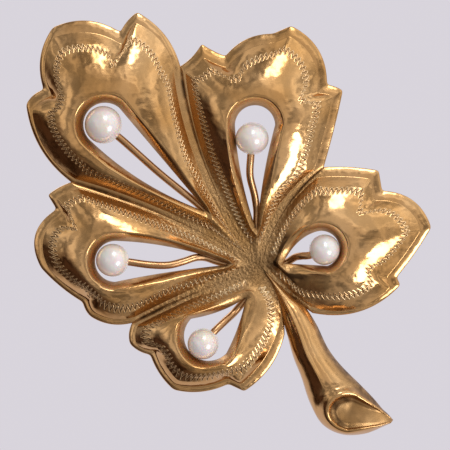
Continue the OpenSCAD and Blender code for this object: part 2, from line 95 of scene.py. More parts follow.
# %% Corners of the five lobes
HUB = (-0.2, 0.2)
LOBES = {
    "right": [(*HUB, 1.2, 1), (6.05, -5.4, 0.25, 2), (16.6, -2.05, 1.55, 0), (16.15, -1.1, 0, 0),
              (20.3, 4.85, 0.15, 0), (14.4, 9.25, 1.3, 0), (14, 11.7, 0, 0), (7.4, 12.1, 0.2, 0)],
    "upper_right": [(*HUB, 1.7, 1), (7.4, 12.1, -1.2, 1), (9.7, 21.3, 0.1, 0), (7.8, 22, 0.1, 0),
                    (3.5, 29.05, 1.3, 0), (1.3, 28.1, 0, 0), (-4.4, 25.4, 0.78, 0),
                    (-7.25, 26.9, -0.1, 0), (-9.8, 24.2, -0.25, 0)],
    "upper_left": [(*HUB, -0.9, 1), (-9.8, 24.2, -1.7, 1), (-15, 30.7, 0.9, 0), (-17, 28.3, 0.2, 0),
                   (-25.1, 28.85, 1.1, 0), (-26.2, 21.4, 0.95, 0), (-28.3, 19.6, 0.3, 0),
                   (-22.9, 10.3, 1.15, 0)],
    "left": [(*HUB, -0.25, 1), (-22.9, 10.3, 0.9, 1), (-25.7, 8.75, 0.15, 0), (-24.65, 7.05, 0, 0),
             (-26.5, 0, 1.7, 0), (-21.5, -4.1, 0.25, 0), (-20.6, -5.8, 0.15, 0),
             (-15.6, -6.6, 0.55, 0)],
    "lower_left": [(*HUB, 0.8, 2), (-15.6, -6.6, 0.25, 1), (-15.85, -9.1, 0.25, 0),
                   (-13.4, -10.4, 0.25, 0), (-10.6, -14.6, 0.35, 0), (-4.05, -13.9, 0.6, 0),
                   (-2.15, -14.8, 0, 0), (2.7, -7.95, 0.85, 0)],
}
EYES = {
    "right": ((2.7, 0.7), (7.1, 2.3), 2.15, 0, 0.55),
    "upper_right": ((-0.7, 5), (-0.85, 17.1), 2.4, -0.3, 0.42),
    "upper_left": ((-7, 7), (-18.8, 17.2), 2.6, 0, 0.82),
    "left": ((-4.4, 0.5), (-17.55, 0.8), 2.45, 0.55, -0.2),
    "lower_left": ((-2.1, -3.8), (-6.4, -8.15), 2.95, -0.4, 0.25),
}
print("free corners:", sum(sum(c[3] == 0 for c in lobe) for lobe in LOBES.values()))

# %% [markdown]
# ## Curves of the drawing
# The teeth of the real leaf are short bows between sharp corners. Splines would need handles at
# every corner; a bow with one bulge is enough and keeps the corners sharp. The rim is wider where
# an edge faces up and right, and the crease that ends it runs parallel to the edge.

# %% Bows, rims and creases
RIM_NARROW, RIM_WIDE, VALLEY_W = 0.6, 1.25, 0.5
RIM_FACING = np.array((0.6, 0.8))
NEARLY_STRAIGHT, MITRE_LIMIT = 0.15, 3.2


def right_of(d):
    return np.array((d[1], -d[0])) / np.hypot(*d)


def mix(a, b, t):
    return a * (1 - t) + b * t


def ease(t):
    return t * t * (3 - 2 * t)


def bowed(p, q, bulge, t):
    """Points at shares t of a stretch from p to q that bows to its right by bulge."""
    t = np.asarray(t, float)[:, None]
    return p * (1 - t) + q * t + 4 * bulge * t * (1 - t) * right_of(q - p)


def rim_width(p, q, kind):
    if kind:
        return VALLEY_W
    return mix(RIM_NARROW, RIM_WIDE, 0.5 + 0.5 * right_of(q - p) @ RIM_FACING)


def corners_round(lobe, k):
    """The corner before, at and after place k of a lobe."""
    return [np.array(lobe[i % len(lobe)][:2]) for i in (k - 1, k, k + 1)]


def crease_corner(lobe, k):
    """The corner moved inward by the rim width of both its edges."""
    n = len(lobe)
    p, q, r = corners_round(lobe, k)
    arrive, leave = lobe[k % n], lobe[(k + 1) % n]
    n1 = -right_of((q - p) - 4 * arrive[2] * right_of(q - p))
    n2 = -right_of((r - q) + 4 * leave[2] * right_of(r - q))
    w1, w2 = rim_width(p, q, arrive[3]), rim_width(q, r, leave[3])
    det = n1[0] * n2[1] - n1[1] * n2[0]
    m = (n1 * w1 + n2 * w2) / 2
    if abs(det) >= NEARLY_STRAIGHT:
        m = np.array((w1 * n2[1] - w2 * n1[1], w2 * n1[0] - w1 * n2[0])) / det
    return q + m * min(1, MITRE_LIMIT * max(w1, w2) / np.hypot(*m))


print("crease inside the top tip:", crease_corner(LOBES["upper_left"], 2).round(2))

# %% [markdown]
# ## One lobe as spokes
# Every point of the edge gets a spoke: edge, crease, field, collar crest and lip. A spoke ends on
# the opening at the nearest point of its axis, so the field wraps round the teardrop without folds;
# a plain grid over the lobe would tear there. Tooth tips are rounded by averaging neighbours, which
# the valleys don't take part in. Round the hub the valleys run out into a flat land.

# %% Edge and crease of a lobe
EDGE_Z, RIM_Z, HUB_Z = 0.42, 0.64, 0.55
COLLAR_W, COLLAR_SHARE, CREST_Z, CREST_TIP_Z = 1.1, 0.3, 3.0, 1.55
LIP_Z, LIP_TIP_Z, TIP_R = 1.3, 1.2, 0.15
STEP, FLAT_SHARE, NOTCH_W = 0.2, 0.62, 1.2
LOOSE_PASSES, TIP_PASSES = 5, 3


def lobe_outline(lobe):
    """Edge, crease, kind, share of the way out of the hub, and where each stretch starts."""
    n = len(lobe)
    edge, crease, kind, share = [], [], [], []
    for k in range(n):
        j = (k + 1) % n
        p, q = np.array(lobe[k][:2]), np.array(lobe[j][:2])
        bulge, kd = lobe[j][2], lobe[j][3]
        m = max(3, int(np.ceil(np.hypot(*(q - p)) / STEP)))
        i = np.arange(m)
        edge.append(bowed(q, p, -bulge, (m - i) / m) if j == 0 else bowed(p, q, bulge, i / m))
        crease.append(bowed(crease_corner(lobe, k), crease_corner(lobe, j), bulge, i / m))
        kind.append(np.full(m, kd))
        share.append(np.ones(m) if kd == 0 else ((m - i) / m if j == 0 else i / m))
    starts = np.cumsum([0] + [len(part) for part in edge])
    return np.vstack(edge), np.vstack(crease), np.concatenate(kind), np.concatenate(share), starts


def round_tips(free, *lines):
    """Round the tooth tips of lines in place, without moving the valleys."""
    loose = free.astype(float)
    for _ in range(LOOSE_PASSES):
        loose = np.minimum(loose, (np.roll(loose, 1) + loose + np.roll(loose, -1)) / 3)
    for line in lines:
        for _ in range(TIP_PASSES):
            line += 0.5 * loose[:, None] * ((np.roll(line, 1, 0) + np.roll(line, -1, 0)) / 2 - line)


def notches(lobe, crease, free, starts):
    """1 at the notches between two teeth, 0 away from them."""
    notch = np.zeros(len(crease))
    for k in range(len(lobe)):
        p, q, r = corners_round(lobe, k)
        if free[starts[k]] and right_of(q - p) @ (r - q) > 0:
            off = np.hypot(*(crease - crease[starts[k]]).T)
            notch = np.maximum(notch, np.exp(-(off / NOTCH_W) ** 2))
    return notch


print("points on the edge:", {name: len(lobe_outline(lobe)[0]) for name, lobe in LOBES.items()})

# %% [markdown]
# ## From the crease to the opening
# The collar of the real leaf is turned in round the teardrop, highest at the round end. A spoke
# finds its place on the axis of the opening, and height and width follow from that one share, so
# the collar sinks by itself toward the pointed end.

# %% Spokes of a lobe
def lobe_spokes(name):
    lobe, eye = LOBES[name], EYES[name]
    edge, crease, kind, share, starts = lobe_outline(lobe)
    free = (kind == 0) & (np.roll(kind, 1) == 0)
    round_tips(free, edge, crease)
    tip, centre, radius, bulge_r, bulge_l = np.array(eye[0]), np.array(eye[1]), *eye[2:]
    axis = centre - tip
    t = np.clip((crease - tip) @ axis / (axis @ axis), 0, 1)
    foot = tip + axis * t[:, None]
    out = crease - foot
    out /= np.hypot(out[:, 0], out[:, 1])[:, None]
    side = np.where(out @ right_of(axis) > 0, bulge_r, bulge_l)
    hole = foot + out * (mix(TIP_R, radius, t) + side * 4 * t * (1 - t))[:, None]
    span = np.hypot(*(crease - hole).T)
    collar = np.minimum(COLLAR_W, COLLAR_SHARE * span)
    edge_z = np.where(kind == 0, EDGE_Z, mix(HUB_Z, EDGE_Z, share))
    land = np.exp(-(share / FLAT_SHARE) ** 4)
    return {
        "name": name, "edge": edge, "crease": crease, "hole": hole, "kind": kind,
        "crest": hole + out * collar[:, None], "field": span - collar,
        "land": land, "notch": notches(lobe, crease, free, starts),
        "zo": edge_z, "zk": edge_z + (RIM_Z - EDGE_Z) * (1 - land),
        "zc": mix(CREST_TIP_Z, CREST_Z, ease(t)), "zl": mix(LIP_TIP_Z, LIP_Z, t),
    }


spokes = {name: lobe_spokes(name) for name in LOBES}
print("spokes:", {name: len(s["kind"]) for name, s in spokes.items()})

# %% [markdown]
# ## The domed field
# Between crease and collar the sheet is raised to a soft dome. Straight spokes alone would carry
# every notch of the edge up into it as a crease. So the field is first laid out as rings of points,
# and those are averaged along the lobe, held still near the crease, at the crest and where narrow.

# %% Swell of the field
DOME, FLAT_RISE, SWELL, LEVELS = 2, 1.6, 2.2, 81
STILL, STILL_OVER, CREST_STILL = 0.2, 0.2, 0.15
NARROW, NARROW_OVER = 1.2, 2


def swell(s):
    """The field from crease to crest in LEVELS rings of points, softened to one swell."""
    g = np.linspace(0, 1, LEVELS)[:, None]
    flat = mix(s["crease"], s["crest"], g[:, :, None])
    rise = mix(1 - (1 - g) ** DOME, g ** FLAT_RISE, s["land"])
    p = np.dstack((flat, mix(s["zk"], s["zc"], rise)))
    hold = np.clip((g - STILL) / STILL_OVER, 0, 1) * np.clip((1 - g) / CREST_STILL, 0, 1)
    hold = (hold * np.clip((s["field"] - NARROW) / NARROW_OVER, 0, 1))[:, :, None]
    for _ in range(int(2 * (SWELL / STEP) ** 2)):
        p += 0.5 * hold * ((np.roll(p, 1, 1) + np.roll(p, -1, 1)) / 2 - p)
    return p


def on_field(s, d):
    """Points of the softened field at distance d inside the crease, one per spoke."""
    g = np.clip(d / s["field"], 0, 1) * (LEVELS - 1)
    k, i = np.minimum(g.astype(int), LEVELS - 2), np.arange(len(g))
    return mix(s["swell"][k, i], s["swell"][k + 1, i], (g - k)[:, None])


for s in spokes.values():
    s["swell"] = swell(s)
print("top of the domes:", {name: s["swell"][..., 2].max().round(2) for name, s in spokes.items()})

# %% [markdown]
# ## Room for the engraving
# The wriggled line runs a little inside the crease, dips inward beside each notch and stops short
# of the hub. It could be painted on, but real cuts catch light from every side. So the sheet is
# left open under the line, and a finer strip with the cut itself fills the band.

# %% Band of the engraved line
LINE_IN = {"right": 1.7, "upper_right": 1.6, "upper_left": 1.9, "left": 1.15, "lower_left": 1.05}
LINE_VALLEY, LINE_STOP, LINE_PASSES, NOTCH_IN = 1.15, 1.7, 40, 1.5
BAND_HALF, BAND_SHARE, LINE_SHARE = 0.46, 0.28, 0.48


def blurred(values, passes):
    """Values round a lobe, averaged with their neighbours."""
    for _ in range(passes):
        values = (np.roll(values, 1) + 2 * values + np.roll(values, -1)) / 4
    return values


def gap(ring, places):
    """Distance in the plane of the leaf from each point of a ring to its place."""
    return np.hypot(*(ring[:, :2] - np.array(places)).T)


def band(s):
    """Distance of the line inside the crease, half its band, and 1 where it is cut."""
    far = blurred(np.where(s["kind"] == 0, LINE_IN[s["name"]], LINE_VALLEY), LINE_PASSES)
    middle = np.minimum(far + NOTCH_IN * s["notch"], LINE_SHARE * s["field"])
    half = np.minimum(BAND_HALF, BAND_SHARE * s["field"])
    return middle, half, (gap(s["crease"], HUB) > LINE_STOP).astype(float)


print("spokes under the cut:", {name: int(band(s)[2].sum()) for name, s in spokes.items()})

# %% [markdown]
# ## Old dirt and stippled land
# Years of wear polish what stands up and leave dirt in the valleys, at the hub and round the
# openings; the same values also give painted shade in those hollows, and a painted dark reflection
# on the field beside the pointed end of each opening. The land between the lines round the hub is
# punched to a dull grain, and it and the valley flanks near the hub get painted shade as well. A
# noise texture can't know such places, so the distances that the drawing already has become a
# value per point.

# %% Where dirt, painted shade and stipple sit
SEAM_PASSES = 30
# Dirt with painted shade along valleys, hub and lip; a painted dark reflection at the corners.
VALLEY_DIRT_SHADE, VALLEY_SHADE_REACH, HUB_DIRT_SHADE, LIP_DIRT_SHADE, CORNER_REACH = 0.6, 1.8, 3.2, 0.55, 3.8
CORNER_DARK_REFLECTION = {"right": 1.5, "upper_right": 0.2, "upper_left": 0.3, "left": 0.3, "lower_left": 0.5}
# Reaches of the dull stippled land, whose colour also gets painted shade.
LAND_REACH, WIDE_REACH, HUB_MATTE_SHADE = 13, 8, 3
WIDE_MATTE_SHADE = {"right": 0, "upper_right": 0.7, "upper_left": 0.7, "left": 0.3, "lower_left": 0.15}


def fall(distance, reach, power=2):
    """1 close by, fading to 0 past the reach."""
    return np.exp(-(distance / reach) ** power)


def seam_share(s):
    return blurred((s["kind"] > 0).astype(float), SEAM_PASSES)


def grime_and_shade(s, ring):
    """How much old dirt and painted shade sit at a ring: 1 in the valleys, 0 out on the lobes."""
    off, lip = gap(ring, s["edge"]), gap(ring, s["hole"])
    # Dirt and painted shade along the valleys, round the hub and at the lip of the opening.
    near = np.maximum(fall(off, VALLEY_DIRT_SHADE), 0.5 * fall(off, VALLEY_SHADE_REACH))
    valley = seam_share(s) * near * (1 - 0.65 * s["land"])
    past_crest = lip - np.hypot(*(s["crest"] - s["hole"]).T)
    # A painted dark reflection on the field beside the pointed end of the opening.
    corner = CORNER_DARK_REFLECTION[s["name"]] * fall(gap(ring, EYES[s["name"]][0]), CORNER_REACH, 4)
    corner = corner * np.clip(past_crest / 0.3, 0, 1)
    corner = corner * np.clip((off - VALLEY_W - band(s)[0]) / 0.4, 0, 1)
    hub = 0.66 * fall(gap(ring, HUB), HUB_DIRT_SHADE)
    return np.maximum.reduce((valley, hub, 0.75 * fall(lip, LIP_DIRT_SHADE), corner))


def matte(s, ring):
    """1 on the stippled land between the engraved lines round the hub, 0 on polished gold."""
    # Where this is high the colour is darkened too, as painted shade on the dull land and flanks.
    seam, hub = seam_share(s), gap(ring, HUB)
    off = gap(ring, s["edge"]) / (VALLEY_W + band(s)[0])
    land = seam * np.clip((1.3 - off) / 0.4, 0, 1) * fall(hub, LAND_REACH, 4)
    wide = WIDE_MATTE_SHADE[s["name"]] * seam * fall(hub, WIDE_REACH, 4)
    return np.maximum.reduce((land, wide, fall(hub, HUB_MATTE_SHADE, 4)))


for s in spokes.values():
    print("mean dirt at the crease,", s["name"], grime_and_shade(s, s["crease"]).mean().round(2))

# %% [markdown]
# ## Rings of a lobe
# The stamped sheet has a front and a back that meet at the edge and at the lip of the opening. A
# solidify modifier would give it thickness too, but not a thin flat foot. So closed rings run from
# the foot of the edge over the front, round the lip and back behind.

# %% Stack of rings
SHEET, ROUND, RIM_PUFF = 0.42, 0.06, 0.05
RIM_STEPS = (0.12, 0.28, 0.46, 0.64, 0.82, 0.96, 1)
LEDGE_STEPS = (0.03, 0.15, 0.4, 0.7)
FIELD_STEPS = np.linspace(0.05, 1, 20)
COLLAR_STEPS = (0.06, 0.14, 0.25, 0.4, 0.55, 0.7, 0.84, 0.95)
BACK_STEPS = (0.8, 0.5, 0.2)


def at(flat, z):
    return np.column_stack((flat, np.broadcast_to(z, len(flat))))


def rings(s):
    """The rings of a lobe, and the first and last ring of the band that the strip fills."""
    edge, crease, crest, hole = s["edge"], s["crease"], s["crest"], s["hole"]
    zo, zk, zc, zl = s["zo"], s["zk"], s["zc"], s["zl"]
    inward = crease - edge
    inward = inward / np.hypot(*inward.T)[:, None]
    middle, half, _ = band(s)
    made = [at(edge, 0), at(edge, zo - ROUND), at(edge + RIM_PUFF * inward, zo)]
    for b in RIM_STEPS:
        puff = RIM_PUFF * np.sin(np.pi * b) * (1 - s["land"])
        made.append(at(mix(edge, crease, b), mix(zo, zk, b) + puff))
    made += [on_field(s, d * (middle - half)) for d in LEDGE_STEPS]
    lo = len(made)
    made += [on_field(s, middle + k * half) for k in (-1, -0.5, 0, 0.5, 1)]
    hi = len(made) - 1
    made += [on_field(s, mix(middle + half + 0.02, s["field"], b)) for b in FIELD_STEPS]
    for c in COLLAR_STEPS:
        made.append(at(mix(crest, hole, c), zl + (zc - zl) * (1 - c ** 1.5)))
    made += [at(hole, zl - ROUND), at(hole, zl - SHEET), at(crest, zc - 1.25 * SHEET)]
    made += [on_field(s, g * s["field"]) - np.array((0, 0, SHEET)) for g in BACK_STEPS]
    made += [at(crease, zk - 1.1 * SHEET), at(mix(edge, crease, 0.4), 0)]
    return made, lo, hi


print("rings per lobe:", len(rings(spokes["right"])[0]))

# %% [markdown]
# ## Meshes from rings
# Everything that this script shapes is a stack of rings or a grid, so one helper turns points and
# faces into a mesh that rides on its body. Points that two lobes share along a valley are welded,
# so the leaf is one closed sheet.

# %% Mesh helpers
def new_mesh(name, points, faces, body, replaced=(), behind=None):
    mesh = bpy.data.meshes.new(name)
    mesh.from_pydata(points.tolist(), [], faces)
    if behind is not None:
        mesh.polygons.foreach_set("material_index", behind.astype(np.int32))
    mesh.polygons.foreach_set("use_smooth", np.ones(len(mesh.polygons), bool))
    mesh.validate()
    mesh.update()
    obj = bpy.data.objects.new(name, mesh)
    scene.collection.objects.link(obj)
    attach(obj, body)
    if replaced:
        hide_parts(*replaced)
    return obj


def ring_faces(count, n, closed=True):
    """Quads between rings, with rings stored one after another and each ring closed."""
    i = np.arange(n)
    j = (i + 1) % n
    quads = []
    for k in range(count if closed else count - 1):
        a, b = k * n, (k + 1) % count * n
        quads.append(np.column_stack((a + i, a + j, b + j, b + i)))
    return quads


def tube_faces(count, n):
    """Faces of a stack of rings with closed ends; the two end points follow the rings."""
    i = np.arange(n)
    j = (i + 1) % n
    last, tip = (count - 1) * n, count * n
    made = np.vstack(ring_faces(count, n, closed=False)).tolist()
    made += np.column_stack((j, i, np.full(n, tip))).tolist()
    made += np.column_stack((last + i, last + j, np.full(n, tip + 1))).tolist()
    return made


def weld(points, faces):
    key = np.round(points / 1e-8).astype(np.int64)
    _, first, back = np.unique(key, axis=0, return_index=True, return_inverse=True)
    return points[first], back.ravel()[faces], first


def keep_value(obj, name, values):
    """A value per point that a material can read."""
    obj.data.attributes.new(name, "FLOAT", "POINT").data.foreach_set("value", values)


# %% [markdown]
# ## The leaf
# The real leaf is one stamped sheet, so the rings of the five lobes become one mesh. A quad of the
# band is left out where the line is cut; the strip of the next step fills it. Faces behind the lip
# are marked, because the back of a stamping is duller than its front.

# %% Build the leaf
BACK_RINGS = 9
points, faces, dirt_and_shade, stipple, backs, base = [], [], [], [], [], 0
for name, s in spokes.items():
    stack, lo, hi = rings(s)
    # Dirt with painted shade per ring, and the stippled land, whose colour also gets painted shade.
    dirt_and_shade += [grime_and_shade(s, ring) for ring in stack]
    stipple += [matte(s, ring) for ring in stack]
    quads = ring_faces(len(stack), len(s["kind"]))
    quads[0] = quads[0][s["kind"] != 1]
    points.append(place(np.vstack(stack)))
    cut = band(s)[2] > 0
    for k in range(lo, hi):
        quads[k] = quads[k][~(cut & np.roll(cut, -1))]
    faces.append(np.vstack(quads) + base)
    backs += [np.full(len(q), k > len(stack) - BACK_RINGS) for k, q in enumerate(quads)]
    base += len(s["kind"]) * len(stack)
points, faces, first = weld(np.vstack(points), np.vstack(faces))
leaf = new_mesh("leaf_sheet", points, faces.tolist(), "leaf", ["leaf_shell"],
                np.concatenate(backs))
keep_value(leaf, "grime_and_shade", np.concatenate(dirt_and_shade)[first])
keep_value(leaf, "matte", np.concatenate(stipple)[first])
print("leaf faces:", len(leaf.data.polygons))

# %% [markdown]
# ## The engraved line
# A wriggled line is cut by walking a flat graver from corner to corner, which leaves a zigzag of
# short bright cuts. A bump map would vanish at a grazing look. Each strip therefore follows its
# lobe's field with a real V groove along a rounded triangle wave, and a low burr beside it. Depth
# and burr are kept as values per point, so the material can paint shade and dirt into the groove
# and a glint onto the burr; on the stippled land the cuts themselves get the painted glint.

# %% Cut the wriggled lines
FINE, ROWS = 4, 17
PITCH, SWING, CUT_HALF, CUT_DEPTH = 0.58, 0.27, 0.1, 0.085
GROOVE_HALF, BURR_AT, BURR_W, BURR_H = CUT_HALF * 1.6, CUT_HALF * 1.9, 0.05, 0.05


def finer(value):
    """A value per spoke, with FINE steps between neighbours."""
    n = len(value)
    table = value.reshape(n, -1)
    table = np.vstack((table, table[:1]))
    x = np.arange(n * FINE) / FINE
    made = np.column_stack([np.interp(x, np.arange(n + 1), c) for c in table.T])
    return made if value.ndim > 1 else made[:, 0]


def zigzag(along):
    """Sideways swing of the graver: mostly a triangle wave, a little rounded."""
    turn = along / PITCH
    return SWING * (0.7 * (np.abs(turn % 1 * 4 - 2) - 1) + 0.3 * np.cos(2 * np.pi * turn))


def engrave(name, s):
    middle, half, cut = band(s)
    across = np.linspace(-1, 1, ROWS)
    fields = [finer(on_field(s, middle + v * half)) for v in across]
    # Dirt with painted shade along the line, and the stippled land with its painted shade.
    soil_and_shade, dead = finer(grime_and_shade(s, on_field(s, middle))), finer(matte(s, on_field(s, middle)))
    half, cut = finer(half), finer(cut) > 0.99
    order = (np.arange(len(cut)) + int(np.argmin(cut))) % len(cut)
    run = order[cut[order]]
    path, half, soil_and_shade, dead = fields[ROWS // 2][run], half[run], soil_and_shade[run], dead[run]
    along = np.concatenate(([0], np.cumsum(np.hypot(*np.diff(path[:, :2], axis=0).T))))
    wave = zigzag(along) * half / BAND_HALF
    fade = np.clip(along / PITCH, 0, 1) * np.clip((along[-1] - along) / PITCH, 0, 1)
    rows, depth, edges, dull = [], [], [], []
    for v, p in zip(across, fields):
        p = p[run]
        off = np.abs(v * half - wave)
        groove = np.clip(1 - off / GROOVE_HALF, 0, 1) * fade * (abs(v) < 0.99)
        burr = fall(off - BURR_AT, BURR_W) * fade * (abs(v) < 0.9)
        p[:, 2] += BURR_H * burr - CUT_DEPTH * groove
        rows.append(p)
        # Painted shade with dirt in the groove, weaker on the stippled land; a painted glint on the
        # burr.
        depth.append(groove * (1 - 0.8 * dead))
        edges.append(np.maximum(burr * (0.6 + 0.4 * dead), groove * dead))
        dull.append(dead * (1 - np.maximum(groove, burr)))
    n = len(run)
    i = np.arange(n - 1)
    quads = [np.column_stack((k * n + i, k * n + i + 1, (k + 1) * n + i + 1, (k + 1) * n + i))
             for k in range(ROWS - 1)]
    strip = new_mesh("engraving_" + name, place(np.vstack(rows)), np.vstack(quads).tolist(), "leaf")
    kept = {"cut": depth, "burr": edges, "grime_and_shade": [soil_and_shade] * ROWS, "matte": dull}
    for label, values in kept.items():
        keep_value(strip, label, np.concatenate(values))
    return strip, along[-1]


strips = {}
for name, s in spokes.items():
    strips[name], length = engrave(name, s)
    print("engraved", name, round(length, 1), "mm,", len(strips[name].data.polygons), "faces")

# %% [markdown]
# ## The stem: its outline
# A short hollow stem is soldered between two lobes. It could be swept along a path, but its sides
# are not parallel and its end is cut off obliquely. So it is drawn as stations, each a point on the
# left line, one on the right line and a share of the full height, with a smooth curve through them.
# The first stations follow the edges of the two lobes beside it.

# %% Stations of the stem
SEAM, PER_STATION, ACROSS = -0.1, 16, 72
hub = np.array(HUB)
seam_left, seam_right = np.array((2.7, -7.95)), np.array((6.05, -5.4))
ROOT = ((0.9, 0.11, 0.26), (0.74, 0.28, 0.33), (0.6, 0.42, 0.4), (0.4, 0.62, 0.5),
        (0.2, 0.85, 0.62))


def beside_lobes(left_share, right_share, tall):
    on_left = bowed(seam_left, hub, 0.8, [left_share])[0] + SEAM * right_of(hub - seam_left)
    on_right = bowed(hub, seam_right, 0.25, [right_share])[0] + SEAM * right_of(seam_right - hub)
    return (*on_left, *on_right, tall)


STATIONS = np.array([
    *(beside_lobes(*row) for row in ROOT), (3.05, -8.2, 6.5, -6.7, 0.75),
    (3.75, -10.7, 7.85, -9.5, 0.86), (4.7, -13.1, 9.4, -11.6, 0.95),
    (5.75, -16.2, 11.9, -14.1, 1), (7.25, -18.75, 13.35, -15.6, 0.96),
    (9.6, -19.95, 14.4, -16.85, 0.82), (12.4, -19.85, 15.05, -17.45, 0.66),
    (15.25, -18.7, 15.72, -18.2, 0.5),
])


def smooth_rows(table, per):
    """A smooth curve through the rows of a table, per steps between rows."""
    ext = np.vstack((2 * table[0] - table[1], table, 2 * table[-1] - table[-2]))
    out = []
    for k in range(1, len(table)):
        p0, p1, p2, p3 = ext[k - 1:k + 3]
        t = (np.arange(per) / per)[:, None]
        out.append(0.5 * (2 * p1 + (p2 - p0) * t + (2 * p0 - 5 * p1 + 4 * p2 - p3) * t ** 2
                          + (3 * p1 - p0 - 3 * p2 + p3) * t ** 3))
    return np.vstack(out + [table[-1:]])


rail = smooth_rows(STATIONS, PER_STATION)
u = 0.5 - 0.5 * np.cos(np.linspace(0, np.pi, ACROSS))
left, right, tall = rail[:, None, :2], rail[:, None, 2:4], rail[:, 4][:, None]
flat = left + (right - left) * u[None, :, None]
print("stem grid:", flat.shape[:2])

# %% [markdown]
# ## The stem: its height
# The end is dished like a cut twig: a teardrop hollow with a ledge inside, a raised lip round it
# and a faint groove outside the lip. Booleans would leave hard edges there. Here the height is a
# sum of soft terms in one measure, which is 1 on the outline of the dish.

# %% Height of the stem
STEM_H, STEM_EDGE, ROUNDNESS, WALL = 3.1, 0.45, 0.55, 0.45
DISH_AT, DISH_TURN, DISH_DEPTH = (10.6, -17.3), -10.5, 1.1
DISH_BACK, DISH_SIDE, DISH_TIP = 2.65, 2.05, 5.15
LEDGE_DROP, LIP_RISE, GROOVE_DROP, RIDGE_RISE = 0.15, 0.36, 0.1, 0.16
turn = np.radians(DISH_TURN)
rel = flat - np.array(DISH_AT)
lengthwise = rel[..., 0] * np.cos(turn) + rel[..., 1] * np.sin(turn)
sideways = -rel[..., 0] * np.sin(turn) + rel[..., 1] * np.cos(turn)
taper = np.clip(1 - np.maximum(0, lengthwise) / DISH_TIP, 0.01, 1)
far = np.hypot(np.minimum(0, lengthwise) / DISH_BACK, sideways / (DISH_SIDE * taper ** 0.8))
dome = (4 * u * (1 - u))[None, :]
front = STEM_EDGE + (STEM_H * tall - STEM_EDGE) * dome ** ROUNDNESS
front -= DISH_DEPTH * np.maximum(0, 1 - far ** 2) ** 0.5 * taper ** 0.7 * tall
front -= LEDGE_DROP * ease(np.clip((0.76 - far) / 0.12, 0, 1)) * taper * tall
front += LIP_RISE * fall(far - 1.18, 0.19) * taper ** 0.5
front -= GROOVE_DROP * fall(far - 1.55, 0.14) * taper
front += RIDGE_RISE * ease(np.clip(far - 1.5, 0, 1)) * fall(u[None, :] - 0.37, 0.06)
behind = np.maximum(0, front - WALL - 0.1 * dome)
print("stem height:", front.max().round(2), "dish floor:", front[far < 0.5].min().round(2), "mm")

# %% [markdown]
# ## The stem: its mesh
# The front and the hollow back share one grid, and a wall joins their borders, so the stem is
# closed. Dirt and painted shade lie in the dish, with a painted shadow on its back wall; a painted
# dark reflection runs along the right hem, and painted shade lies at the root between the lobes.

# %% Build the stem
rows = len(rail)
top = np.concatenate((flat, front[..., None]), 2).reshape(-1, 3)
low = np.concatenate((flat, behind[..., None]), 2).reshape(-1, 3)
grid = np.arange(rows * ACROSS).reshape(rows, ACROSS)
q = np.stack((grid[:-1, :-1], grid[1:, :-1], grid[1:, 1:], grid[:-1, 1:]), -1).reshape(-1, 4)
border = np.concatenate((grid[0, :-1], grid[:-1, -1], grid[-1, :0:-1], grid[:0:-1, 0]))
wall = np.column_stack((border, np.roll(border, -1), np.roll(border, -1) + rows * ACROSS,
                        border + rows * ACROSS))
faces = np.vstack((q, q[:, ::-1] + rows * ACROSS, wall[:, ::-1]))
backs = np.repeat((0, 1, 0), (len(q), len(q), len(wall)))
stem = new_mesh("stem_shell", place(np.vstack((top, low))), faces.tolist(), "leaf",
                ["stem"], backs)
# Painted shadow on the back wall of the dish; dirt and painted shade over the dish floor.
shadow = ease(np.clip(0.4 - lengthwise / 2.2, 0, 1)) * ease(np.clip((far - 0.5) / 0.2, 0, 1))
inside = (far < 0.97) * (0.62 + 0.38 * shadow)
reach = np.linspace(0.08, 0.34, rows)[:, None]
# A painted dark reflection along the right hem of the stem.
hem = 0.95 * fall((1 - u)[None, :], reach) * (far > 1.25)
# Painted shade at the root, where the stem runs in under the lobes.
root = 0.95 * np.clip(1 - np.arange(rows) / 60, 0, 1)[:, None] * np.ones((1, ACROSS))
# All of these are dirt and painted shade, not wear.
worn = np.maximum.reduce((inside, hem, root)).ravel()
keep_value(stem, "grime_and_shade", np.concatenate((worn, worn)))
print("stem faces:", len(stem.data.polygons))

# %% [markdown]
# ## Pearls
# Cultured pearls are never quite round. A sphere from the menu would look like a ball bearing, so
# each pearl is a fine sphere with a slow swell of its own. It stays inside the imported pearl's box.

# %% Build the pearls
PEARLS = ["right", "upper_right", "upper_left", "left", "lower_left"]
LAT, LON, UNEVEN, FIRST_SEED = 72, 144, 0.02, 3


def pearl(name, seed):
    lo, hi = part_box("pearl_" + name)
    centre = np.array((lo + hi) / 2)
    radius = max(hi - lo) / 2
    rng = np.random.default_rng(seed)
    theta = np.pi * (np.arange(1, LAT) / LAT)
    phi = 2 * np.pi * np.arange(LON) / LON
    th, ph = np.meshgrid(theta, phi, indexing="ij")
    way = np.stack((np.sin(th) * np.cos(ph), np.cos(th), np.sin(th) * np.sin(ph)), -1)
    way = np.vstack((way.reshape(-1, 3), (0, 1, 0), (0, -1, 0)))
    waves = np.zeros(len(way))
    for scale in (1.6, 2.7, 4.1):
        waves += np.sin(way @ (rng.normal(size=3) * scale) + rng.uniform(0, 6)) / scale
    size = radius * (1 + UNEVEN * (waves - waves.max()) / np.ptp(waves))
    return new_mesh("pearl_body_" + name, centre + way * size[:, None], tube_faces(LAT - 1, LON),
                    "leaf", ["pearl_" + name])


pearls = {name: pearl(name, FIRST_SEED + k) for k, name in enumerate(PEARLS)}
for name in PEARLS:
    lo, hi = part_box("pearl_" + name)
    print("pearl", name, round(min(hi - lo) / MM, 2), "mm")

# %% [markdown]
# ## Wires
# Each pearl is glued to a gold wire that leaves it level, bends as the seen one does and sinks to
# the back plane under the pointed end of the opening. A bevelled curve would do, but a tube of
# rings gives clean ends and a mesh that the export keeps as it is.

